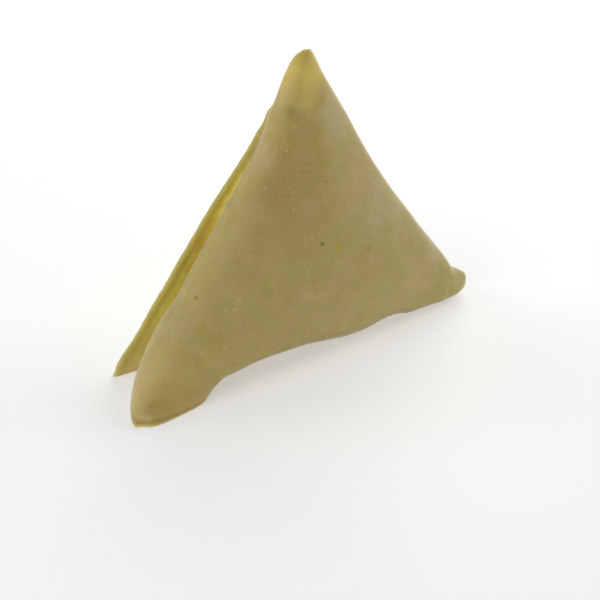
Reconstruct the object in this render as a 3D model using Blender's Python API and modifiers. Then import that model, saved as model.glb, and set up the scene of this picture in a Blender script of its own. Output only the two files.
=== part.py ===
"""A raw folded chicken samosa, standing on its base.

The shape functions work in millimetres, and the finished mesh is in metres. X runs along the base from the round
heel (-X) to the pinched ear (+X). The big plain face looks along -Y, the loose flap that ends the wrap is at the
back (+Y), and Z is up from the surface that the samosa stands on.
"""

import math

import bmesh
import bpy
from mathutils import Vector, noise

MM = 0.001

# The triangle of the front view, as (height, place along X) of each side.
HEIGHT = 72.4
LEFT_SIDE = [
    (0, -43.2), (6, -41.2), (14, -36.4), (20, -31.0), (27, -25.3), (36, -18.8), (50, -9.3), (60, -4.8),
    (67, -1.9), (70.5, 0.2), (72.4, 2.6),
]
RIGHT_SIDE = [(0, 46.4), (4, 47.0), (9, 44.6), (20, 36.4), (35, 25.7), (49, 17.1), (64, 8.5), (72.4, 4.4)]

# Half thicknesses by height: at the round left fold, at the tight right fold, and what the filling adds between.
LEFT_HALF = [(0, 9.0), (20, 8.0), (40, 6.2), (60, 3.9), (72.4, 2.2)]
RIGHT_HALF = [(0, 2.8), (20, 3.2), (50, 2.6), (72.4, 2.0)]
FILLING_BULGE = [(0, 1.6), (15, 3.4), (35, 3.0), (55, 1.2), (72.4, 0.0)]
LEFT_MIDDLE = [(0, -3.0), (36, -1.0), (72.4, 0.0)]
RIGHT_MIDDLE = [(0, 0.2), (20, 0.0), (72.4, 0.0)]

# The underside: the rounding of its rim from the left fold (-1) to the right one (+1), and how far the base edge
# is drawn up between its two corners, by place along X.
RIM_ROUND = [(-1, 1.4), (-0.5, 4.5), (0.4, 4.5), (1, 2.0)]
BASE_LIFT = [
    (-50, 0.0), (-31, 0.0), (-28.5, 1.6), (-26.5, 4.1), (-22, 4.6), (-14, 5.1), (-4, 4.6), (11, 2.2),
    (17, 2.2), (24, 2.6), (31, 1.2), (38, 1.0), (42, 0.7), (44, 0.0), (46.5, 0.0), (51, 2.2),
]
LIFT_FADES_BY = 26.0
TIP_ROUND = 3.0

# Corners drawn out by the folding: place, how far it moves, how wide around it the pastry follows, how blunt it is.
PULLS = [
    ((-42.2, -7.6, 0.0), (-7.0, -5.2, 0.0), 14.0, 1.0),
    ((46.8, 0.4, 3.4), (3.4, 0.4, 0.0), 8.0, 2.0),
]

# The flap: the last turn of the pastry strip, whose cut edge stands free of the left fold.
PASTRY = 1.4
FLAP_TOP = 64.0
FLAP_EDGE = [(0, -40.2), (3, -39.4), (10, -35.2), (21, -28.6), (35, -19.6), (49, -9.0), (56, -4.2), (64, 1.2)]
FLAP_FLARE = [(0, 5.6), (10, 3.2), (21, 1.4), (35, 0.3), (60, 0.0)]
FLAP_FLARE_WIDTH = 16.0
FLAP_HEM = [(0, -0.5), (0.1, -0.5), (0.5, -1.0), (0.75, 0.5), (1.0, 3.0)]
FLAP_SUNK = 0.35
FLAP_RIGHT_MARGIN = 3.0

# The slight waves of handled dough, and where in the noise each direction starts.
WAVE_SIZE = 17.0
WAVE_DEPTH = 0.5
WAVE_STARTS = [(3.1, 7.7, 1.9), (41.3, 5.2, 8.8), (12.6, 63.4, 27.5)]

# How finely the two pieces are divided, and the body's rings where the sole, the rim and the sides end.
TURNS, RINGS = 92, 34
SOLE_ENDS, RIM_ENDS, TIP_STARTS = 4, 8, 31
FLAP_COLUMNS, FLAP_ROWS = 18, 30
SEAM_WELD = 0.001

PASTRY_COLOUR = (0.56, 0.44, 0.19, 1.0)


def slope_at(stations, i):
    """The slope through a station, from its neighbours."""
    before, after = stations[max(i - 1, 0)], stations[min(i + 1, len(stations) - 1)]
    return (after[1] - before[1]) / (after[0] - before[0])


def along(stations, at):
    """The value at a place, on a smooth curve through a few (place, value) stations."""
    if at <= stations[0][0]:
        return stations[0][1]
    if at >= stations[-1][0]:
        return stations[-1][1]
    i = max(k for k in range(len(stations) - 1) if stations[k][0] <= at)
    (x0, y0), (x1, y1) = stations[i], stations[i + 1]
    t = (at - x0) / (x1 - x0)
    rise0, rise1 = slope_at(stations, i) * (x1 - x0), slope_at(stations, i + 1) * (x1 - x0)
    start = y0 * (2 * t**3 - 3 * t**2 + 1) + rise0 * (t**3 - 2 * t**2 + t)
    return start + y1 * (3 * t**2 - 2 * t**3) + rise1 * (t**3 - t**2)


def smooth(low, high, at):
    """0 before low, 1 after high, and a soft step between."""
    t = min(max((at - low) / (high - low), 0.0), 1.0)
    return t * t * (3 - 2 * t)


def middle_line(z, across):
    """The plane halfway through the samosa, from the left fold (across -1) to the right one (+1)."""
    left, right = along(LEFT_MIDDLE, z), along(RIGHT_MIDDLE, z)
    return left + (right - left) * (across + 1) / 2


def half_thickness(z, across):
    """Half the thickness before the folds at the two ends are rounded."""
    left, right = along(LEFT_HALF, z), along(RIGHT_HALF, z)
    flat = left + (right - left) * (across + 1) / 2
    return flat + along(FILLING_BULGE, z) * (1 - across**2)


def seam_point(x):
    """The nearest point of the seam in the middle of the underside, which ends where the folds begin to round."""
    left, right = LEFT_SIDE[0][1] + LEFT_HALF[0][1], RIGHT_SIDE[0][1] - RIGHT_HALF[0][1]
    x = min(max(x, left), right)
    return Vector((x, middle_line(0.0, 2 * (x - left) / (right - left) - 1), 0.0))


def slice_point(z, turn, thin=1.0, inset=0.0):
    """A point on the outline of the slice at a height, thinned and drawn in at its ends.

    The power makes the end of the slice a half circle as wide as the pastry is thick there.
    """
    left, right = along(LEFT_SIDE, z) + inset, along(RIGHT_SIDE, z) - inset
    half_width = (right - left) / 2
    across = math.cos(turn)
    end = along(LEFT_HALF, z) if across < 0 else along(RIGHT_HALF, z)
    rounding = math.sqrt(max(1 - abs(across) ** (2 * half_width / end), 0.0))
    side = 1 if math.sin(turn) > 0 else -1
    half = half_thickness(z, across) * rounding * thin
    return Vector(((left + right) / 2 + half_width * across, middle_line(z, across) + side * half, z))


def body_point(turn, ring):
    """The place on the filled body, from the seam under it (ring 0) over the rim and the sides to the tip."""
    across = math.cos(turn)
    rim = along(RIM_ROUND, across)
    half = half_thickness(0.0, across)
    if ring <= SOLE_ENDS:
        edge = slice_point(0.0, turn, 1 - rim / half, rim)
        return seam_point(edge.x).lerp(edge, ring / SOLE_ENDS)
    if ring <= RIM_ENDS:
        roll = (ring - SOLE_ENDS) / (RIM_ENDS - SOLE_ENDS) * math.pi / 2
        inward = rim * (1 - math.sin(roll))
        return slice_point(rim * (1 - math.cos(roll)), turn, 1 - inward / half, inward)
    if ring <= TIP_STARTS:
        share = (ring - RIM_ENDS) / (TIP_STARTS - RIM_ENDS)
        return slice_point(rim + (HEIGHT - TIP_ROUND - rim) * share, turn)
    roll = (ring - TIP_STARTS) / (RINGS - TIP_STARTS) * math.pi / 2
    return slice_point(HEIGHT - TIP_ROUND * (1 - math.sin(roll)), turn, math.cos(roll))


def draw_up_base(point):
    """Lifts the base between the heel and the ear, as filling draws in the edges of a pillow."""
    fade = max(1 - point.z / LIFT_FADES_BY, 0.0) ** 2
    point.z += along(BASE_LIFT, point.x) * fade
    return point


def pull_corners(point):
    """Draws out the corners."""
    for place, move, reach, blunt in PULLS:
        away = min((point - Vector(place)).length / reach, 1.0)
        point = point + Vector(move) * (1 - away**blunt) ** 2
    return point


def uneven(point):
    """Handling leaves the pastry slightly wavy."""
    wave = Vector([noise.noise(point / WAVE_SIZE + Vector(start)) for start in WAVE_STARTS])
    return point + wave * WAVE_DEPTH


def flap_point(across_share, up_share):
    """The place on the flap, from its cut edge (0) to where it has become the back of the body (1)."""
    z = FLAP_TOP * up_share
    left, right = along(LEFT_SIDE, z), along(RIGHT_SIDE, z)
    start, end = along(FLAP_EDGE, z), right - FLAP_RIGHT_MARGIN
    x = start + (end - start) * across_share
    across = min(max((2 * x - left - right) / (right - left), -1.0), 1.0)
    lie = PASTRY / 2 - FLAP_SUNK
    flare = along(FLAP_FLARE, z) * (1 - smooth(0.0, FLAP_FLARE_WIDTH, x - start))
    sink = (PASTRY + 0.4) * max(smooth(0.75, 1.0, across_share), smooth(0.96, 1.0, up_share))
    hem = along(BASE_LIFT, x) * smooth(0.05, 0.4, across_share) + along(FLAP_HEM, across_share)
    lift = hem * max(1 - z / LIFT_FADES_BY, 0.0) ** 2
    return Vector((x, middle_line(z, across) + half_thickness(z, across) + lie + flare - sink, z + lift))


def object_of(bm, name, collection):
    """A named object in metres from a bmesh in millimetres."""
    bmesh.ops.scale(bm, vec=(MM, MM, MM), verts=bm.verts)
    mesh = bpy.data.meshes.new(name)
    bm.to_mesh(mesh)
    bm.free()
    made = bpy.data.objects.new(name, mesh)
    collection.objects.link(made)
    return made


def make_body(collection):
    """The filled pocket: a sheet rolled into a tube, flattened to the samosa's slices and closed at both ends."""
    bm = bmesh.new()
    bmesh.ops.create_grid(bm, x_segments=TURNS, y_segments=RINGS, size=0.5)
    for vert in bm.verts:
        turn, ring = (vert.co.x + 0.5) * 2 * math.pi, round((vert.co.y + 0.5) * RINGS)
        vert.co = uneven(pull_corners(draw_up_base(body_point(turn, ring))))
    bmesh.ops.remove_doubles(bm, verts=bm.verts, dist=SEAM_WELD)
    bmesh.ops.recalc_face_normals(bm, faces=bm.faces)
    if bm.calc_volume(signed=True) < 0:
        bmesh.ops.reverse_faces(bm, faces=bm.faces)
    return object_of(bm, "samosa", collection)


def make_flap(collection):
    """The flap as an open sheet, given the thickness of the pastry."""
    bm = bmesh.new()
    bmesh.ops.create_grid(bm, x_segments=FLAP_COLUMNS, y_segments=FLAP_ROWS, size=0.5)
    for vert in bm.verts:
        vert.co = uneven(flap_point(vert.co.x + 0.5, vert.co.y + 0.5))
    flap = object_of(bm, "flap", collection)
    thicken = flap.modifiers.new("pastry", "SOLIDIFY")
    thicken.thickness = PASTRY * MM
    thicken.offset = 0.0
    thicken.use_even_offset = True
    return flap


def fuse(target, other):
    """Joins the other object to the target, as one closed solid, and removes it."""
    join = target.modifiers.new("fuse", "BOOLEAN")
    join.operation = "UNION"
    join.solver = "EXACT"
    join.object = other
    graph = bpy.context.evaluated_depsgraph_get()
    fused = bpy.data.meshes.new_from_object(target.evaluated_get(graph))
    target.modifiers.clear()
    target.data = fused
    bpy.data.objects.remove(other)


def stand_on_origin(made):
    """Presses the underside flat on the ground, and puts the origin under the middle of the box."""
    for vert in made.data.vertices:
        vert.co.z = max(vert.co.z, 0.0)
    xs = [v.co.x for v in made.data.vertices]
    ys = [v.co.y for v in made.data.vertices]
    centre = Vector(((min(xs) + max(xs)) / 2, (min(ys) + max(ys)) / 2, 0.0))
    for vert in made.data.vertices:
        vert.co -= centre


def pastry_material():
    """Raw pastry: pale, matt and a little waxy."""
    material = bpy.data.materials.new("raw pastry")
    material.use_nodes = True
    shader = material.node_tree.nodes["Principled BSDF"]
    shader.inputs["Base Color"].default_value = PASTRY_COLOUR
    shader.inputs["Roughness"].default_value = 0.6
    shader.inputs["Metallic"].default_value = 0.0
    return material


def main():
    for old in list(bpy.data.objects):
        bpy.data.objects.remove(old)
    parts = bpy.data.collections.new("chicken samosa")
    bpy.context.scene.collection.children.link(parts)
    samosa = make_body(parts)
    fuse(samosa, make_flap(parts))
    stand_on_origin(samosa)
    samosa.data.materials.clear()
    samosa.data.materials.append(pastry_material())
    samosa.data.shade_smooth()
    samosa.data.set_sharp_from_angle(angle=math.radians(40))


main()
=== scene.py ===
# %% [markdown]
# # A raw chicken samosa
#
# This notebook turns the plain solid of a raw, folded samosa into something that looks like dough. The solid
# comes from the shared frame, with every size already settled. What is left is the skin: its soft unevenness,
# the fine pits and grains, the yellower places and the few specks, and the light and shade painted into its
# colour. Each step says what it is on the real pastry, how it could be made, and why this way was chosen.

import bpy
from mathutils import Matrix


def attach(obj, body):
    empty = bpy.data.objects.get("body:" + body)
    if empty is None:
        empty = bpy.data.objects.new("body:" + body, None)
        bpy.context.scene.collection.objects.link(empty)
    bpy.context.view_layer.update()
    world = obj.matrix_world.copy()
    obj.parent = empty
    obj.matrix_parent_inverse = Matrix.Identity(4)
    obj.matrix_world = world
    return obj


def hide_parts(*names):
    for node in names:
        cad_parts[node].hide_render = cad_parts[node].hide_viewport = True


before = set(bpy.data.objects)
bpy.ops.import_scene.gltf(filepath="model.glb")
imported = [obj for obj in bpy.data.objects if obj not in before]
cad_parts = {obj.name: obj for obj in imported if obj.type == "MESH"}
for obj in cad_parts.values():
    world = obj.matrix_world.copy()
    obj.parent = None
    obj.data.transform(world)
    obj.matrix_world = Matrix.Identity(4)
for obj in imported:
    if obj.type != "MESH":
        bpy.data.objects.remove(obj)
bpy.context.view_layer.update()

# %% [markdown]
# ## The tools
# Blender's own mesh tools shape the skin. A few steps move eighty thousand points at once, which numpy does much
# faster than a loop. The sizes of the pastry are written in millimetres, and Blender wants metres, so they are
# multiplied by MM.

import bmesh
import bpy
import numpy as np
from mathutils import Vector, noise
from mathutils.bvhtree import BVHTree

MM = 0.001
print("Blender", bpy.app.version_string)

# %% [markdown]
# ## The camera
# The photograph looks down on the samosa by 28 degrees, from 34 degrees to the left of its plain face. A long
# lens from less than half a metre gives the same slight perspective. The camera only needs a place to stand and
# a place to look at, both in millimetres from the middle of the base.

# %% Place the camera
LOOK_FROM = Vector((-222.22, -330.53, 223.83))
LOOK_AT = Vector((-0.04, -1.13, 12.57))
SENSOR_WIDTH, FOCAL_LENGTH = 36.0, 119.08
NEAREST, FURTHEST = 0.01, 20.0

lens = bpy.data.cameras.new("photo_camera")
lens.sensor_width = SENSOR_WIDTH
lens.lens = FOCAL_LENGTH
lens.clip_start, lens.clip_end = NEAREST, FURTHEST
camera = bpy.data.objects.new("photo_camera", lens)
camera.location = LOOK_FROM * MM
camera.rotation_mode = "QUATERNION"
camera.rotation_quaternion = (LOOK_AT - LOOK_FROM).to_track_quat("-Z", "Y")
bpy.context.scene.collection.objects.link(camera)
bpy.context.scene.camera = camera
print("The camera is", round((LOOK_FROM - LOOK_AT).length), "mm away")

# %% [markdown]
# ## One soft skin
# The pastry has one skin, which runs over the body and the flap without a seam. The solid in the frame is loose
# triangles, each with its own three corners, so a copy of it is made and the corners that meet are merged. The
# solid itself is left as it is.

# %% Copy the solid and merge its loose triangles
SAME_PLACE = 0.001 * MM

bm = bmesh.new()
bm.from_mesh(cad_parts["samosa"].data)
bmesh.ops.remove_doubles(bm, verts=bm.verts, dist=SAME_PLACE)
print("merged copy:", len(bm.verts), "points,", round(bm.calc_volume() * 1e9), "cubic millimetres")
mesh = bpy.data.meshes.new("dough_skin")
bm.to_mesh(mesh)
bm.free()
skin = bpy.data.objects.new("dough_skin", mesh)
bpy.context.scene.collection.objects.link(skin)

# %% [markdown]
# The solid is made of flat facets about two millimetres wide, and pastry has none. Subdividing the facets would
# keep their pattern. A voxel remesh forgets the pattern: it lays an even net of small squares over the merged
# copy, fine enough for the 1.4 mm sheet of the flap, and it closes the corner where the flap meets the body.

# %% Lay the even net over it
SKIN_VOXEL = 0.40 * MM

net = skin.modifiers.new("even net", "REMESH")
net.mode = "VOXEL"
net.voxel_size = SKIN_VOXEL
remeshed = bpy.data.meshes.new_from_object(skin.evaluated_get(bpy.context.evaluated_depsgraph_get()))
skin.modifiers.clear()
skin.data = remeshed
skin.data.name = "dough_skin"
print("even net:", len(skin.data.vertices), "points,", len(skin.data.polygons), "faces")

# %% [markdown]
# The net still follows the facets. Smoothing it evenly would melt the cut edge of the flap and pull in the tip,
# so each smoothing step is followed by a slightly stronger step back (this is called Taubin smoothing). Ripples
# as small as a facet go, and anything bigger than about four millimetres keeps its size.

# %% Smooth the facets away
SMOOTH_ROUNDS = 26
STEP_IN, STEP_BACK = 0.55, -0.58


def read_points(obj):
    """The points of a piece in millimetres."""
    points = np.empty(len(obj.data.vertices) * 3, np.float32)
    obj.data.vertices.foreach_get("co", points)
    return points.reshape(-1, 3).astype(float) * 1000


def write_points(obj, points):
    """Moves the points of a piece, given in millimetres."""
    obj.data.vertices.foreach_set("co", (points * MM).astype(np.float32).ravel())
    obj.data.update()


def read_normals(obj):
    """The direction each point of a piece faces."""
    normals = np.empty(len(obj.data.vertices) * 3, np.float32)
    obj.data.vertices.foreach_get("normal", normals)
    return normals.reshape(-1, 3).astype(float)


def read_edges(obj):
    """Both ends of every edge of a piece."""
    ends = np.empty(len(obj.data.edges) * 2, np.int32)
    obj.data.edges.foreach_get("vertices", ends)
    return ends.reshape(-1, 2)


def neighbour_mean(values, edges):
    """The mean of the neighbours of every point, for each column of values."""
    count = np.bincount(edges.ravel(), minlength=len(values))
    total = [np.bincount(edges[:, 0], column[edges[:, 1]], len(values))
             + np.bincount(edges[:, 1], column[edges[:, 0]], len(values)) for column in values.T]
    return np.stack(total, 1) / count[:, None]


edges = read_edges(skin)
points = read_points(skin)
for _ in range(SMOOTH_ROUNDS):
    for step in (STEP_IN, STEP_BACK):
        points += step * (neighbour_mean(points, edges) - points)
write_points(skin, points)
print("smoothed box:", points.min(0).round(2), "to", points.max(0).round(2), "mm")

# %% [markdown]
# ## Waves of the filling
# Chopped chicken pushes the thin pastry out in low, soft waves about a centimetre across, and hands leave
# smaller ones. Every point is moved by a smooth noise field, as if the whole piece were gently kneaded, so the
# two sides of the thin flap move together and it keeps its thickness. The base is left alone, to stay flat.

# %% Knead the skin
KNEADS = [(13.0, 0.42, (3.7, 11.2, 5.1)), (6.0, 0.14, (21.4, 2.9, 17.6)), (2.6, 0.03, (9.3, 31.8, 12.2))]
KNEAD_AXES = (0.3, 1.0, 0.3)
AXES_APART = (0.0, 37.0, 71.0)
STILL_BELOW, FREE_ABOVE = 0.3, 5.0


def knead(points, size, depth, start):
    """The move of every point in one field of waves."""
    moves = np.empty_like(points)
    for i, point in enumerate(points):
        place = Vector(point) / size
        for axis, turn in enumerate(AXES_APART):
            moves[i, axis] = noise.noise(place + Vector(start) + Vector((turn, turn, turn)))
    return moves * depth * KNEAD_AXES


def soft_step(low, high, values):
    """0 below low, 1 above high, and a soft step between."""
    share = np.clip((values - low) / (high - low), 0.0, 1.0)
    return share * share * (3 - 2 * share)


points = read_points(skin)
moves = sum(knead(points, *field) for field in KNEADS)
points += moves * soft_step(STILL_BELOW, FREE_ABOVE, points[:, 2])[:, None]
points[:, 2] = np.maximum(points[:, 2], 0.0)
write_points(skin, points)
print("kneading moves up to", round(float(np.abs(moves).max()), 2), "mm")

# %% [markdown]
# ## The heel on the table
# The heel is soft and carries most of the weight, so its lowest two millimetres spread until they meet the table
# at a sharp rim. Squeezing the heights of those millimetres towards the table does the same, and it moves nothing
# sideways.

# %% Sharpen the heel where it presses on the table
HEEL_RIM = 2.2
HEEL_FADES = (-34.0, -26.0)

points = read_points(skin)
low = points[:, 2] < HEEL_RIM
at_heel = 1 - soft_step(*HEEL_FADES, points[:, 0])
pressed = HEEL_RIM * (points[:, 2] / HEEL_RIM) ** 2
points[low, 2] += ((pressed - points[:, 2]) * at_heel)[low]
write_points(skin, points)
print("the heel's rim is pressed down by up to", round(HEEL_RIM / 4, 2), "mm")

# %% [markdown]
# ## Pinches
# Fingers pinched the corners when the packet was folded. The net could be sculpted by hand, but a list can be read
# and changed: each entry says where the dough is taken hold of, how it is moved, and how far the pull reaches.
# The reach is longer through the thickness of the pastry, because fingers hold it from both sides.

# %% Pinch the corners
PINCHES = [
    ((-47.4, -9.8, 0.5), (-0.15, 0.2, 0.0), 1.8),
    ((-46.2, -5.0, 2.5), (-0.3, 0.0, 0.0), 2.2),
    ((-48.0, -12.0, 0.3), (0.2, 1.4, 0.0), 1.8),
    ((-30.3, -10.8, 4.8), (0.0, 0.0, 0.9), 1.4),
    ((-32.2, -11.0, 2.4), (0.2, 0.0, 0.1), 1.2),
    ((-27.4, -11.6, 7.2), (0.0, 0.0, -0.7), 1.6),
    ((28.6, -5.0, 3.6), (0.0, 0.0, -0.35), 2.2),
    ((-36.5, 10.3, 0.2), (0.0, 0.0, 0.45), 2.5),
    ((46.6, -1.2, 1.0), (-0.8, 0.0, 0.5), 2.4),
    ((43.5, -2.0, 1.4), (0.0, 0.0, 0.7), 1.8),
    ((44.1, -0.5, 8.6), (-0.5, 0.0, -0.6), 2.0),
    ((46.0, -0.8, 7.0), (0.0, 0.0, -0.3), 1.8),
    ((-38.5, 10.8, 4.0), (-0.6, 0.35, 0.0), 5.0),
    ((-8.0, 3.8, 52.0), (-0.5, 0.0, 0.1), 5.0),
    ((-12.0, 5.2, 46.5), (-0.3, 0.0, 0.0), 4.0),
    ((-24.0, 6.5, 29.0), (-0.4, 0.0, 0.0), 6.0),
    ((-26.6, 7.0, 25.0), (-0.4, 0.0, 0.0), 4.0),
    ((-4.8, 4.6, 58.4), (-0.5, 0.0, 0.4), 2.2),
    ((-17.4, 2.6, 39.4), (-0.5, 0.0, 0.0), 1.2),
    ((-18.4, 2.6, 37.2), (0.4, 0.0, 0.0), 1.2),
]
REACHES_THROUGH = (1.0, 0.5, 1.0)

points = read_points(skin)
for place, move, reach in PINCHES:
    away = np.linalg.norm((points - place) * REACHES_THROUGH, axis=1) / reach
    points += np.exp(-away**2)[:, None] * move
points[:, 2] = np.maximum(points[:, 2], 0.0)
write_points(skin, points)
print("pinches:", len(PINCHES), "and the box is now", points.min(0).round(2), "to", points.max(0).round(2), "mm")

# %% [markdown]
# ## The cut edge of the flap
# A knife cut the strip, and handling has rounded its free edge and drawn it thin. The edge runs along a line of a
# few known places. Smoothing without a step back, near that line only, does both. It also takes out the last
# unevenness of the net, which shows there against the pale floor.

# %% Soften the flap's cut edge
CUT_EDGE = [(-3.0, 4.0, 61.0), (-7.3, 4.4, 55.0), (-11.3, 4.9, 47.9), (-16.8, 5.8, 40.9), (-21.8, 6.2, 33.8),
            (-26.8, 6.8, 26.2), (-34.2, 9.0, 14.0), (-40.1, 10.5, 3.8), (-42.5, 11.3, 0.0)]
CUT_ROUNDS = 12
CUT_FULL, CUT_ENDS = 1.5, 3.5


def distance_to_line(points, line):
    """How far every point is from a line through a few places."""
    nearest = np.full(len(points), np.inf)
    for start, end in zip(line, line[1:]):
        a, b = np.array(start), np.array(end)
        share = np.clip((points - a) @ (b - a) / ((b - a) @ (b - a)), 0.0, 1.0)
        nearest = np.minimum(nearest, np.linalg.norm(points - a - share[:, None] * (b - a), axis=1))
    return nearest


points = read_points(skin)
from_cut = distance_to_line(points, CUT_EDGE)
share = 0.5 * (1 - soft_step(CUT_FULL, CUT_ENDS, from_cut)) * soft_step(0.2, 1.5, points[:, 2])
for _ in range(CUT_ROUNDS):
    points += share[:, None] * (neighbour_mean(points, edges) - points)
write_points(skin, points)
print("points softened along the cut edge:", int((share > 0.05).sum()))

# %% [markdown]
# ## Creases
# A folded sheet creases a little where it turns: across the neck below the tip, beside the ear, and where the
# base edge is drawn up next to the heel. Each crease is a short line of points. The skin near it sinks, and
# swells slightly on both sides, because pressed dough has to go somewhere.

# %% Press the creases
CREASES = [
    ([(-5.0, -3.4, 61.5), (-1.5, -4.6, 59.6), (2.5, -4.4, 58.8)], 0.14, 1.1),
    ([(-3.0, -5.0, 56.0), (0.5, -5.4, 55.2), (4.0, -5.2, 55.6)], 0.10, 1.3),
    ([(-29.8, -11.8, 4.8), (-30.6, -11.8, 8.2), (-32.6, -11.2, 12.0)], 0.12, 1.3),
    ([(-26.0, -11.9, 5.6), (-23.5, -11.8, 9.0), (-19.5, -11.6, 12.0)], 0.08, 1.6),
    ([(41.0, -3.2, 1.4), (40.8, -3.2, 5.0), (39.4, -3.0, 8.4)], 0.14, 1.2),
    ([(7.5, -9.6, 3.6), (8.6, -9.6, 7.0), (11.6, -9.4, 10.0)], 0.10, 1.4),
    ([(-46.4, -10.6, 2.0), (-44.4, -11.2, 4.4), (-42.4, -10.6, 7.6)], 0.06, 1.0),
    ([(-40.0, -12.6, 1.0), (-38.6, -12.4, 2.6), (-37.2, -12.0, 4.0)], 0.06, 0.6),
    ([(-37.6, -12.2, 1.0), (-36.2, -12.0, 2.4), (-34.8, -11.8, 3.6)], 0.06, 0.6),
]

points, normals = read_points(skin), read_normals(skin)
sink = np.zeros(len(points))
for line, depth, width in CREASES:
    away = distance_to_line(points, line) / width
    sink += depth * (np.exp(-away**2) - 0.35 * np.exp(-((away - 1.9) / 0.9) ** 2))
points -= normals * (sink * soft_step(0.3, 1.5, points[:, 2]))[:, None]
write_points(skin, points)
print("creases:", len(CREASES), "and the deepest is", round(float(sink.max()), 2), "mm")

# %% [markdown]
# ## What the skin knows about itself
# Four things about the shape decide where the dough's colour changes and where light and shade are painted into
# it. Each is worked out from the mesh and stored on its points, where the material can read it. Painting them by
# hand would be slow and would not survive a change of shape. The first is shelter: where two layers face each
# other closely, as inside the flap, the pastry stays moist and looks yellower, and there it is also painted
# brighter, as light let through the thin flap into the shade between the layers. Short rays from every point find
# out how near the next layer is.

# %% Find the sheltered places
SHELTER_REACH = 12.0
RAY_START, RAY_SPREAD = 0.15, 0.9
SHELTER_ROUNDS = 6


def shelter(points, normals, obj):
    """How closely the skin faces itself: 0 in the open, towards 1 deep between two layers."""
    corners = [tuple(p) for p in points]
    tree = BVHTree.FromPolygons(corners, [tuple(f.vertices) for f in obj.data.polygons])
    found = np.zeros(len(points))
    for i, (point, normal) in enumerate(zip(points, normals)):
        facing = Vector(normal)
        side = facing.orthogonal().normalized() * RAY_SPREAD
        other = facing.cross(side)
        start = Vector(point) + facing * RAY_START
        for ray in (facing, facing + side, facing - side, facing + other, facing - other):
            hit = tree.ray_cast(start, ray.normalized(), SHELTER_REACH)
            if hit[0] is not None:
                found[i] += 1 - hit[3] / SHELTER_REACH
    return found / 5


def keep_on_points(obj, name, values):
    """Stores one number for every point."""
    layer = obj.data.attributes.new(name, "FLOAT", "POINT")
    layer.data.foreach_set("value", values.astype(np.float32))


def soften(values, edges, rounds):
    """Spreads values over the neighbouring points."""
    values = values[:, None]
    for _ in range(rounds):
        values = values + 0.5 * (neighbour_mean(values, edges) - values)
    return values[:, 0]


points, normals = read_points(skin), read_normals(skin)
sheltered = soften(shelter(points, normals, skin), edges, SHELTER_ROUNDS)
keep_on_points(skin, "sheltered", sheltered)
print("sheltered share of the skin:", round(float((sheltered > 0.3).mean()), 3))

# %% [markdown]
# The other three are quicker. The outermost edges get a painted highlight, a pale sheen, and they are the points
# that stand out from a blurred copy of the skin. The flap's cut edge gets painted light, as if light came through
# it, and it is near the line named before. What faces the table gets painted shade, and the normals tell which
# points those are.

# %% Find the edges and the underside
EDGE_ROUNDS = 24
STANDS_OUT, NEAR_CUT, FACES_DOWN = (0.02, 0.30), (0.9, 2.6), (0.10, 0.65)

blurred = points.copy()
for _ in range(EDGE_ROUNDS):
    blurred += 0.5 * (neighbour_mean(blurred, edges) - blurred)
outward = ((points - blurred) * normals).sum(1)
keep_on_points(skin, "edge", soften(soft_step(*STANDS_OUT, outward), edges, 2))
keep_on_points(skin, "cut", 1 - soft_step(*NEAR_CUT, distance_to_line(points, CUT_EDGE)))
keep_on_points(skin, "under", soften(soft_step(*FACES_DOWN, -normals[:, 2]), edges, 1))
print("edges stand out by up to", round(float(outward.max()), 2), "mm")

# %% [markdown]
# ## The dough
# Raw dough is pale yellow, matt and slightly waxy, and light goes a few millimetres into it. Its colour is uneven
# at several scales at once, so the material is built up in the same order: broad warm and cool areas, blotches,
# fine grain, then the places that are different, and last the specks. All of it reads Object coordinates, turned
# into millimetres, so that every size in the nodes can be compared with the pastry.

# %% Start the dough material
def linear(red, green, blue):
    """A colour as a picture shows it (0 to 255), as the light that the material needs."""
    parts = [c / 255 for c in (red, green, blue)]
    return tuple(c / 12.92 if c <= 0.04045 else ((c + 0.055) / 1.055) ** 2.4 for c in parts) + (1.0,)


dough = bpy.data.materials.new("raw_dough")
dough.use_nodes = True
tree = dough.node_tree
surface = tree.nodes["Principled BSDF"]


def add(kind, inputs=None, **options):
    """Adds a node, sets its options, and gives each input a number or a link."""
    made = tree.nodes.new(kind)
    for option, value in options.items():
        setattr(made, option, value)
    for name, value in (inputs or {}).items():
        if isinstance(value, bpy.types.NodeSocket):
            tree.links.new(value, made.inputs[name])
        else:
            made.inputs[name].default_value = value
    return made


def mix(share, first, second, blend="MIX"):
    """Mixes two colours."""
    made = add("ShaderNodeMix", {0: share, 6: first, 7: second}, data_type="RGBA", blend_type=blend)
    return made.outputs[2]


def ramp(value, low, high, top=1.0):
    """A soft step from 0 to top as the value goes from low to high."""
    made = add("ShaderNodeMapRange", {"Value": value, "From Min": low, "From Max": high, "To Max": top},
               interpolation_type="SMOOTHSTEP")
    return made.outputs["Result"]


def work(operation, first, second=0.0):
    """Arithmetic on two values."""
    return add("ShaderNodeMath", {0: first, 1: second}, operation=operation).outputs[0]


def grain(size, start, detail=2.0, rough=0.5, at=None):
    """Noise whose features are about size millimetres wide."""
    moved = add("ShaderNodeVectorMath", {0: at or place, 1: start}, operation="ADD").outputs[0]
    made = add("ShaderNodeTexNoise", {"Vector": moved, "Scale": 1 / size, "Detail": detail, "Roughness": rough})
    return made.outputs[0]


coordinates = add("ShaderNodeTexCoord")
place = add("ShaderNodeVectorMath", {0: coordinates.outputs["Object"], "Scale": 1000.0}, operation="SCALE").outputs[0]
axes = add("ShaderNodeSeparateXYZ", {0: place})
across, back, height = axes.outputs[0], axes.outputs[1], axes.outputs[2]
print("the dough starts with", len(tree.nodes), "nodes")

# %% [markdown]
# The broad colour comes first. Neighbouring areas lean towards a pinkish cream, a greenish cream and a darker
# straw colour, and no border between them is sharp.

# %% Mix the broad colours
CREAM = linear(186, 168, 98)
PINKISH = linear(193, 169, 113)
GREENISH = linear(182, 170, 96)
STRAW = linear(178, 158, 82)

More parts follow.
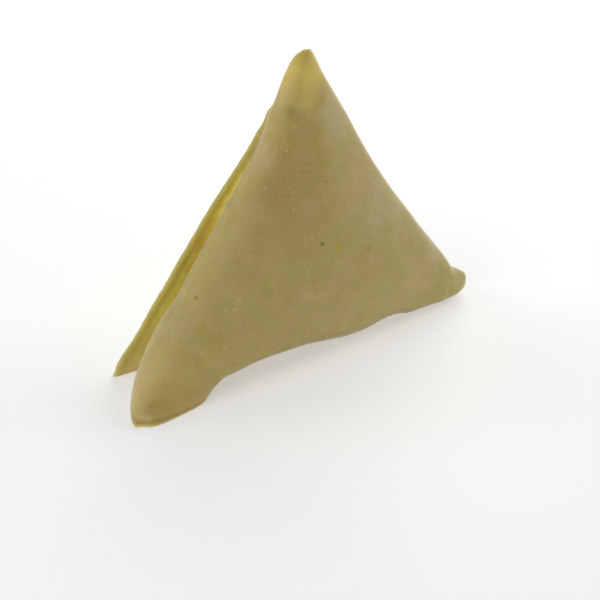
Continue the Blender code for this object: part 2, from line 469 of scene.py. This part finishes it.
broad = mix(ramp(grain(19.0, (4.0, 9.0, 2.0)), 0.42, 0.62, 0.6), CREAM, PINKISH)
broad = mix(ramp(grain(15.0, (31.0, 5.0, 14.0)), 0.50, 0.66, 0.6), broad, GREENISH)
broad = mix(ramp(grain(11.0, (12.0, 22.0, 41.0), 3.0), 0.48, 0.70, 0.5), broad, STRAW)
print("broad colours: cream, pinkish, greenish and straw")

# %% [markdown]
# Some areas differ because of how the packet is folded and filled: straw colour where a single layer lies over
# the filling, warm and pale on the heel, yellow towards the ear. Each is a soft ball of colour, placed one by
# one, with its border shaken by the broad noise. The colours were corrected until patches of the render had
# nearly the mean colour of the same patches of the photograph.

# %% Tint the areas and paint the highlights
# The pale, greyish balls on the left fold, on the tip's left shoulder, on the left side low down, on the heel's left
# band, right of the tip, on the right side and by the ear are painted highlights, a sheen on the rims; the others are
# tones of the dough.
TINTS_AND_HIGHLIGHTS = [
    ((-1.0, -5.5, 51.0), 9.0, linear(179, 157, 76), 0.55),
    ((0.0, -4.7, 58.5), 6.0, linear(168, 144, 54), 0.65),
    ((-1.0, -9.5, 28.0), 14.0, linear(173, 153, 78), 0.60),
    ((-42.0, -9.0, 5.0), 13.0, linear(206, 181, 113), 0.75),
    ((-6.0, -11.0, 13.0), 15.0, linear(179, 158, 92), 0.45),
    ((37.0, -4.0, 6.0), 12.0, linear(179, 163, 86), 0.60),
    ((36.0, -2.5, 16.0), 8.0, linear(200, 184, 140), 0.55),
    ((18.0, -5.0, 32.0), 10.0, linear(200, 183, 140), 0.60),
    ((6.5, -3.0, 57.0), 8.0, linear(202, 186, 136), 0.70),
    ((-5.0, -3.0, 57.0), 4.5, linear(192, 172, 108), 0.55),
    ((-24.0, -7.0, 22.0), 9.0, linear(195, 177, 116), 0.60),
    ((-9.0, -6.0, 42.0), 6.0, linear(192, 170, 102), 0.50),
    ((-22.0, -6.0, 34.0), 9.0, linear(190, 171, 110), 0.50),
    ((-30.0, -9.0, 15.0), 8.0, linear(194, 178, 112), 0.50),
    ((-6.5, -7.0, 45.0), 9.0, linear(184, 158, 96), 0.55),
    ((-9.5, -1.0, 51.0), 5.0, linear(196, 175, 140), 0.65),
    ((-5.0, -0.5, 63.0), 5.0, linear(196, 177, 132), 0.65),
    ((-14.0, -3.0, 42.0), 6.0, linear(182, 168, 106), 0.50),
    ((-35.0, -4.0, 19.0), 7.0, linear(194, 176, 128), 0.60),
    ((-45.0, -4.5, 10.0), 5.0, linear(194, 173, 122), 0.60),
    ((-39.0, -12.0, 1.5), 8.0, linear(190, 163, 78), 0.65),
    ((-25.0, -10.5, 15.0), 5.0, linear(190, 160, 100), 0.50),
    ((-12.0, 8.0, 14.0), 14.0, linear(198, 178, 116), 0.60),
    ((16.0, 4.0, 24.0), 12.0, linear(180, 164, 88), 0.60),
    ((-2.0, 6.0, 44.0), 11.0, linear(180, 157, 84), 0.60),
    ((30.0, 4.0, 8.0), 9.0, linear(194, 178, 124), 0.60),
]

DRIFT_SCALE, DRIFT_WIDTH = 0.16, 14.0
HALF = (0.5, 0.5, 0.5)

drift = add("ShaderNodeTexNoise", {"Vector": place, "Scale": DRIFT_SCALE, "Detail": 2.0})
shift = add("ShaderNodeVectorMath", {0: drift.outputs["Color"], 1: HALF}, operation="SUBTRACT").outputs[0]
drifted = add("ShaderNodeVectorMath", {0: shift, 1: (DRIFT_WIDTH,) * 3, 2: place}, operation="MULTIPLY_ADD")
drifted = drifted.outputs[0]
for centre, reach, tint, strength in TINTS_AND_HIGHLIGHTS:
    away = add("ShaderNodeVectorMath", {0: drifted, 1: centre}, operation="DISTANCE").outputs["Value"]
    broad = mix(ramp(away, reach, reach * 0.25, strength), broad, tint)
print("areas:", len(TINTS_AND_HIGHLIGHTS))

# %% [markdown]
# Blotches of three to five millimetres are fat and flour that didn't mix in fully, and the dough is mottled pink
# and green within them. The finest grain is the flour itself, and rolling has drawn it out slightly along the
# strip.

# %% Add blotches and fine grain
BLOTCH, MOTTLE, FLOUR, STREAK = 4.2, 2.3, 0.75, 0.6
PALE_BLOTCH, DARK_BLOTCH = linear(200, 183, 123), linear(170, 149, 74)
PINK_MOTTLE, GREEN_MOTTLE = linear(199, 164, 114), linear(174, 170, 92)
ROLLED_TURN, ROLLED_SCALE = (0.0, 0.5, 0.0), (1.0, 1.0, 0.45)

blotch = grain(BLOTCH, (7.0, 3.0, 9.0), 4.0, 0.6)
mottle = grain(MOTTLE, (23.0, 7.0, 11.0), 3.0, 0.6)
fine = grain(FLOUR, (2.0, 8.0, 6.0), 3.0, 0.6)
rolled = add("ShaderNodeMapping", {"Vector": place, "Rotation": ROLLED_TURN, "Scale": ROLLED_SCALE})
streak = grain(STREAK, (5.0, 1.0, 3.0), 2.0, 0.5, rolled.outputs[0])

colour = mix(ramp(blotch, 0.50, 0.72, 0.45), broad, PALE_BLOTCH)
colour = mix(ramp(blotch, 0.48, 0.28, 0.40), colour, DARK_BLOTCH)
colour = mix(ramp(mottle, 0.50, 0.66, 0.34), colour, PINK_MOTTLE)
colour = mix(ramp(mottle, 0.48, 0.34, 0.34), colour, GREEN_MOTTLE)
print("sizes of the noises, from blotches to flour:", BLOTCH, MOTTLE, FLOUR, STREAK, "mm")

# %% [markdown]
# Left of the middle the top layer was rolled over flour: the grain is stronger and pale grains stand out there, as
# a strip that runs from the neck down to the middle. A ball of influence gives such a strip when heights count
# only about half, and its middle is written in the same way.

# %% Scatter pale grains over the floured strip
STRIP_COUNTS = (1.0, 1.0, 0.55)
STRIP_MIDDLE = (-5.5, -7.0, 24.5)
STRIP_ENDS, STRIP_FULL = 12.0, 4.0
LOOSE_GRAIN = 0.70
FLOURED_DOUGH, ROLLED_STREAK = linear(182, 157, 90), linear(160, 140, 74)
FINE_GRAIN, PALE_GRAIN = linear(207, 191, 134), linear(210, 188, 132)

floured = add("ShaderNodeVectorMath", {0: drifted, 1: STRIP_COUNTS}, operation="MULTIPLY").outputs[0]
floured = add("ShaderNodeVectorMath", {0: floured, 1: STRIP_MIDDLE}, operation="DISTANCE").outputs["Value"]
floured = ramp(floured, STRIP_ENDS, STRIP_FULL)
grainy = work("ADD", work("MULTIPLY", floured, 0.5), 0.5)
colour = mix(work("MULTIPLY", floured, 0.45), colour, FLOURED_DOUGH)
colour = mix(work("MULTIPLY", ramp(fine, 0.55, 0.75, 0.34), grainy), colour, FINE_GRAIN)
colour = mix(work("MULTIPLY", ramp(streak, 0.46, 0.30, 0.18), grainy), colour, ROLLED_STREAK)
grains = ramp(grain(LOOSE_GRAIN, (3.0, 16.0, 25.0), 3.0, 0.7), 0.56, 0.72)
colour = mix(work("MULTIPLY", grains, work("ADD", work("MULTIPLY", floured, 0.34), 0.04)), colour, PALE_GRAIN)
print("the floured strip is at most", 2 * STRIP_ENDS, "mm wide")

# %% [markdown]
# The tip, where the strip was folded on itself most, is a clear yellow. Inside the flap the moist pastry is
# yellower still, and it is painted brighter, as light let through the thin flap into the shade of the gap. Its
# thin cut edge gets painted light too, as if lit through. The outer edges get a painted highlight, a pale sheen,
# and what faces the table gets painted shade.

# %% Colour the tip, paint light into the flap and on the edges, and paint shade underneath
HEEL_MIDDLE = (-42.0, -11.0, 0.0)
HEEL_ENDS, HEEL_FULL = 13.0, 8.0
TIP_RIDGE, TIP_STARTS, TIP_FULL = 0.6, 57.0, 67.0
# The edge colour is a painted highlight, a pale sheen on the rims. The inside colours are the moist dough's yellow
# with painted light on it, as if lit through the thin flap. The cut colour is painted light through the cut edge, and
# the underside colour is painted shade.
PAINTED_RIM_SHEEN, YELLOW_TIP = linear(195, 189, 153), linear(219, 195, 100)
MOIST_LIT_INSIDE_TOP, MOIST_LIT_INSIDE_MIDDLE, MOIST_LIT_INSIDE_FOOT = linear(234, 222, 127), linear(230, 221, 130), linear(207, 195, 118)
PAINTED_LIGHT_AT_CUT, PAINTED_UNDERSIDE_SHADE = linear(186, 175, 89), linear(122, 100, 52)

to_heel = add("ShaderNodeVectorMath", {0: place, 1: HEEL_MIDDLE}, operation="DISTANCE").outputs["Value"]
to_heel = ramp(to_heel, HEEL_ENDS, HEEL_FULL)
# Painted highlight: the rims that stand out are paled to a greyish sheen, less so on the heel.
edge_of = add("ShaderNodeAttribute", attribute_name="edge").outputs["Fac"]
rim_sheen = work("MULTIPLY", ramp(edge_of, 0.12, 0.85, 0.55), work("SUBTRACT", 1.0, work("MULTIPLY", to_heel, 0.7)))
colour = mix(rim_sheen, colour, PAINTED_RIM_SHEEN)

wander = work("MULTIPLY", work("SUBTRACT", grain(5.0, (14.0, 6.0, 2.0)), 0.5), 9.0)
from_ridge = work("MULTIPLY", work("ABSOLUTE", work("SUBTRACT", across, TIP_RIDGE)), -0.7)
tip = ramp(work("ADD", work("ADD", height, wander), from_ridge), TIP_STARTS, TIP_FULL, 0.85)
colour = mix(tip, colour, YELLOW_TIP)

# Partly own colour, partly painted light: between the layers the moist dough is yellower, and it is painted brighter
# still, as light let through the thin flap into the shade of the gap.
shelter_of = add("ShaderNodeAttribute", attribute_name="sheltered").outputs["Fac"]
inside = ramp(work("ADD", shelter_of, work("MULTIPLY", wander, 0.01)), 0.08, 0.34, 0.95)
moist_lit_inside_colour = mix(ramp(height, 42.0, 28.0), MOIST_LIT_INSIDE_TOP, MOIST_LIT_INSIDE_MIDDLE)
moist_lit_inside_colour = mix(ramp(height, 16.0, 4.0), moist_lit_inside_colour, MOIST_LIT_INSIDE_FOOT)
colour = mix(inside, colour, moist_lit_inside_colour)

# Painted light: the flap's cut edge is coloured as if light came through it.
cut_of = add("ShaderNodeAttribute", attribute_name="cut").outputs["Fac"]
colour = mix(work("MULTIPLY", cut_of, 0.75), colour, PAINTED_LIGHT_AT_CUT)
# Painted shade: what faces the table is darkened.
underside_shade_share = add("ShaderNodeAttribute", attribute_name="under").outputs["Fac"]
colour = mix(work("MULTIPLY", underside_shade_share, 0.55), colour, PAINTED_UNDERSIDE_SHADE)
print("colours for places: tip, inside of the flap, cut edge, dry edges and underside")

# %% [markdown]
# Along the foot of the heel the lowest layer ends in a thin pale line, with a darker line of painted shade above
# it, where the heel meets the table.

# %% Draw the layer's end and the painted shade above it along the foot of the heel
# The darker line's colour is painted shade where the heel meets the table; the pale line is the layer's own end.
DARK_STARTS, DARK_ENDS, PALE_ENDS = (0.7, 0.95), (2.2, 1.1), (0.75, 0.45)
PAINTED_FOOT_SHADE, PALE_LINE = linear(152, 126, 56), linear(206, 188, 112)

uneven = work("ADD", height, work("MULTIPLY", wander, 0.05))
# Painted shade: the darker line along the foot of the heel.
foot_shade_line = work("MULTIPLY", ramp(uneven, *DARK_STARTS), ramp(uneven, *DARK_ENDS))
colour = mix(work("MULTIPLY", work("MULTIPLY", foot_shade_line, to_heel), 0.50), colour, PAINTED_FOOT_SHADE)
pale_line = ramp(uneven, *PALE_ENDS)
colour = mix(work("MULTIPLY", work("MULTIPLY", pale_line, to_heel), 0.45), colour, PALE_LINE)
print("the pale line is about", round(sum(PALE_ENDS) / 2, 2), "mm high")

# %% [markdown]
# The specks are bran, spice and a bit of filling showing through. The few that show on the front are placed one
# by one, and the hidden sides get some of the same kind from a cell pattern in which few cells count.

# %% Place the specks and the painted light in the flap's gap
SPECKS_AND_GAP_LIGHT = [
    ((0.1, -9.6, 30.2), 0.48, linear(108, 90, 40), 0.86),
    ((4.6, -9.2, 28.0), 0.90, linear(196, 168, 40), 0.80),
    ((14.1, -8.3, 24.8), 0.95, linear(152, 142, 78), 0.38),
    ((-29.2, -4.2, 23.1), 0.50, linear(150, 124, 50), 0.55),
    ((-30.7, -8.8, 17.8), 1.40, linear(188, 174, 60), 0.50),
    ((-27.0, -10.0, 16.0), 1.10, linear(178, 146, 84), 0.32),
    ((-25.6, -10.9, 13.2), 0.90, linear(178, 148, 82), 0.30),
    ((-27.6, -10.9, 12.6), 0.60, linear(182, 150, 78), 0.30),
    ((24.5, -6.0, 24.0), 0.45, linear(158, 140, 84), 0.45),
    ((-7.4, -7.5, 43.0), 0.60, linear(170, 146, 84), 0.35),
    ((-3.5, -7.0, 47.5), 0.70, linear(170, 146, 82), 0.30),
    ((-6.3, -5.2, 52.5), 0.34, linear(212, 190, 136), 0.60),
    ((-6.3, -4.4, 54.9), 0.30, linear(212, 190, 136), 0.50),
    ((-3.9, -4.8, 57.0), 0.30, linear(210, 188, 132), 0.45),
    ((-11.8, -5.0, 45.1), 0.34, linear(214, 192, 140), 0.60),
    ((-9.4, -6.9, 43.4), 0.34, linear(212, 190, 136), 0.50),
    ((-6.6, -8.4, 39.8), 0.36, linear(214, 190, 136), 0.60),
    ((-5.4, -9.5, 34.6), 0.36, linear(214, 192, 138), 0.55),
    ((-26.6, -11.5, 13.4), 0.40, linear(210, 192, 136), 0.45),
    ((-25.0, -9.6, 21.2), 0.45, linear(210, 194, 140), 0.40),
    ((-29.0, -10.9, 14.5), 2.40, linear(186, 172, 84), 0.40),
    ((-21.7, -10.0, 22.9), 0.50, linear(212, 200, 146), 0.45),
    ((-23.1, -10.3, 21.0), 0.60, linear(212, 198, 142), 0.40),
    ((2.6, -7.4, 43.8), 0.45, linear(150, 134, 76), 0.40),
    ((-18.1, -8.6, 30.5), 1.60, linear(204, 172, 124), 0.40),
    # The last three entries are not specks: they are wide yellow patches of painted light in the flap's gap, near its
    # cut edge.
    ((-18.8, 5.2, 34.5), 2.20, linear(224, 198, 96), 0.35),
    ((-21.5, 5.4, 29.0), 2.40, linear(222, 194, 90), 0.50),
    ((-24.0, 5.8, 24.0), 2.30, linear(224, 198, 98), 0.40),
]

RAGGED_SCALE, RAGGED_SHARE = 1.3, 1.4
CELL_SCALE = 0.14
BRAN = linear(128, 104, 56)

ragged = add("ShaderNodeTexNoise", {"Vector": place, "Scale": RAGGED_SCALE, "Detail": 2.0})
nudge = add("ShaderNodeVectorMath", {0: ragged.outputs["Color"], 1: HALF}, operation="SUBTRACT").outputs[0]
for spot, radius, tint, strength in SPECKS_AND_GAP_LIGHT:
    width = (radius * RAGGED_SHARE,) * 3
    shaken = add("ShaderNodeVectorMath", {0: nudge, 1: width, 2: place}, operation="MULTIPLY_ADD").outputs[0]
    away = add("ShaderNodeVectorMath", {0: shaken, 1: spot}, operation="DISTANCE").outputs["Value"]
    colour = mix(ramp(away, radius * 1.35, radius * 0.55, strength), colour, tint)

cells = add("ShaderNodeTexVoronoi", {"Vector": place, "Scale": CELL_SCALE, "Randomness": 1.0})
chosen = add("ShaderNodeSeparateColor", {0: cells.outputs["Color"]})
size_of = work("MULTIPLY", chosen.outputs[1], 0.10)
few = work("MULTIPLY", ramp(chosen.outputs[0], 0.80, 0.82), ramp(back, 1.0, 3.0))
bran = work("MULTIPLY", few, ramp(work("SUBTRACT", cells.outputs["Distance"], size_of), 0.03, -0.01, 0.7))
colour = mix(bran, colour, BRAN)
print("specks placed by hand:", len(SPECKS_AND_GAP_LIGHT))

# %% [markdown]
# Relief finer than the mesh is left to bump: pits where air got out, grains that stand up, and the slight drag of
# the roller. Heights are real, a few hundredths of a millimetre. The surface is rougher where flour lies on it.

# %% Give it fine relief and the right gloss
PIT = 0.9
RELIEF_HEIGHT = 0.08 * MM
SMOOTHEST, ROUGHEST = 0.50, 0.66

pits = ramp(grain(PIT, (17.0, 4.0, 8.0), 1.0), 0.62, 0.74)
relief = work("MULTIPLY", work("ADD", work("MULTIPLY", fine, 0.7), work("MULTIPLY", streak, 0.5)), grainy)
relief = work("ADD", relief, work("ADD", work("MULTIPLY", blotch, 1.2), work("MULTIPLY", mottle, 0.8)))
grain_height = work("MULTIPLY", grains, work("ADD", work("MULTIPLY", floured, 0.9), 0.15))
relief = work("SUBTRACT", work("ADD", relief, grain_height), work("MULTIPLY", pits, work("MULTIPLY", grainy, 0.9)))
bump = add("ShaderNodeBump", {"Height": relief, "Strength": 1.0, "Distance": RELIEF_HEIGHT})
matt = add("ShaderNodeMapRange", {"Value": blotch, "From Min": 0.3, "From Max": 0.7,
                                  "To Min": SMOOTHEST, "To Max": ROUGHEST})

tree.links.new(colour, surface.inputs["Base Color"])
tree.links.new(matt.outputs["Result"], surface.inputs["Roughness"])
tree.links.new(bump.outputs["Normal"], surface.inputs["Normal"])
surface.inputs["Subsurface Weight"].default_value = 0.80
surface.inputs["Subsurface Radius"].default_value = (0.9, 0.8, 0.4)
surface.inputs["Subsurface Scale"].default_value = 2.8 * MM
surface.inputs["IOR"].default_value = 1.42
surface.inputs["Sheen Weight"].default_value = 0.45
surface.inputs["Sheen Roughness"].default_value = 0.35
print("nodes in the dough:", len(tree.nodes))

# %% [markdown]
# ## Dressing the solid
# The frame knows the whole piece as one solid with one material slot. The skin stands in for that solid, takes its
# slot and rides on the root, because nothing on a samosa moves by itself.

# %% Dress the skin
skin.data.materials.clear()
skin.data.materials.append(dough)
skin.data.shade_smooth()
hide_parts("samosa")
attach(skin, "root")
print("triangles in the dressed samosa:", 2 * len(skin.data.polygons))

# %% [markdown]
# ## The floor
# The samosa stands on a plain pale floor. In the photograph nothing of a floor is left but white, and the shaded
# base of the pastry is nearly as bright as the rest, as on a photographer's light table. So the floor glows a
# little by itself, which lightens the soft shadow and the base. The lights don't reach far, so it glows more
# further out, and looks pale from low down too. That makes the upper half of the pastry slightly brighter, and the
# lights were turned down for it.

# %% Lay the floor
FLOOR_SIZE = 3.0
NEAR_GLOW, FAR_GLOW = 0.40, 0.85
GLOW_GROWS = (0.20, 0.45)
FLOOR_COLOUR = linear(225, 225, 223)
WHITE = (1.0, 1.0, 1.0, 1.0)

bm = bmesh.new()
bmesh.ops.create_grid(bm, x_segments=1, y_segments=1, size=FLOOR_SIZE / 2)
mesh = bpy.data.meshes.new("floor")
bm.to_mesh(mesh)
bm.free()
floor = bpy.data.objects.new("floor", mesh)
bpy.context.scene.collection.objects.link(floor)
paint = bpy.data.materials.new("pale_floor")
paint.use_nodes = True
glowing = paint.node_tree.nodes["Principled BSDF"]
glowing.inputs["Base Color"].default_value = FLOOR_COLOUR
glowing.inputs["Roughness"].default_value = 0.9
glowing.inputs["Emission Color"].default_value = WHITE
where = paint.node_tree.nodes.new("ShaderNodeTexCoord")
far = paint.node_tree.nodes.new("ShaderNodeVectorMath")
far.operation = "LENGTH"
glow = paint.node_tree.nodes.new("ShaderNodeMapRange")
glow.interpolation_type = "SMOOTHSTEP"
for name, value in zip(("From Min", "From Max", "To Min", "To Max"), (*GLOW_GROWS, NEAR_GLOW, FAR_GLOW)):
    glow.inputs[name].default_value = value
paint.node_tree.links.new(where.outputs["Object"], far.inputs[0])
paint.node_tree.links.new(far.outputs["Value"], glow.inputs["Value"])
paint.node_tree.links.new(glow.outputs["Result"], glowing.inputs["Emission Strength"])
floor.data.materials.append(paint)
print("floor:", FLOOR_SIZE, "m wide")

# %% [markdown]
# ## The light
# The photograph is evenly lit. Both ends of the pastry are a little brighter than its middle, and nothing shines,
# so the light comes from the sides and from behind, not from the camera. Four wide soft boxes stand around the
# pastry and look at it. Light adds up, so their powers were first worked out from one render for each box, by
# looking for the sum that comes nearest to the photograph, and were then trimmed.

# %% Hang the lights
SOFT_BOXES = [
    ("left_box", (-430.0, -170.0, 220.0), 380.0, 1.05),
    ("left_back_box", (-300.0, 330.0, 260.0), 380.0, 0.70),
    ("right_box", (430.0, -100.0, 260.0), 340.0, 1.02),
    ("right_back_box", (330.0, 300.0, 260.0), 380.0, 1.46),
]
BOXES_LOOK_AT = Vector((0.0, 0.0, 25.0))

for name, spot, size, power in SOFT_BOXES:
    light = bpy.data.lights.new(name, "AREA")
    light.shape = "SQUARE"
    light.size = size * MM
    light.energy = power
    box = bpy.data.objects.new(name, light)
    box.location = Vector(spot) * MM
    box.rotation_mode = "QUATERNION"
    box.rotation_quaternion = (BOXES_LOOK_AT - Vector(spot)).to_track_quat("-Z", "Y")
    bpy.context.scene.collection.objects.link(box)
print("soft boxes:", len(SOFT_BOXES))

# %% [markdown]
# A pale sky adds nearly nothing to the light, and is there to be seen behind the floor. One world can't be bright
# and dim at once, so it is told apart whether the camera sees it or the pastry is lit by it.

# %% Put up the sky
SKY_LIGHT, SKY_SEEN = 0.05, 0.92

world = bpy.data.worlds.new("pale_sky")
bpy.context.scene.world = world
world.use_nodes = True
sky = world.node_tree.nodes["Background"]
sky.inputs["Color"].default_value = WHITE
seen =world.node_tree.nodes.new("ShaderNodeLightPath")
strength = world.node_tree.nodes.new("ShaderNodeMapRange")
strength.inputs["To Min"].default_value = SKY_LIGHT
strength.inputs["To Max"].default_value = SKY_SEEN
world.node_tree.links.new(seen.outputs["Is Camera Ray"], strength.inputs["Value"])
world.node_tree.links.new(strength.outputs["Result"], sky.inputs["Strength"])
bpy.context.scene.view_settings.view_transform = "Standard"
print("the sky lights with", SKY_LIGHT, "and is seen with", SKY_SEEN)
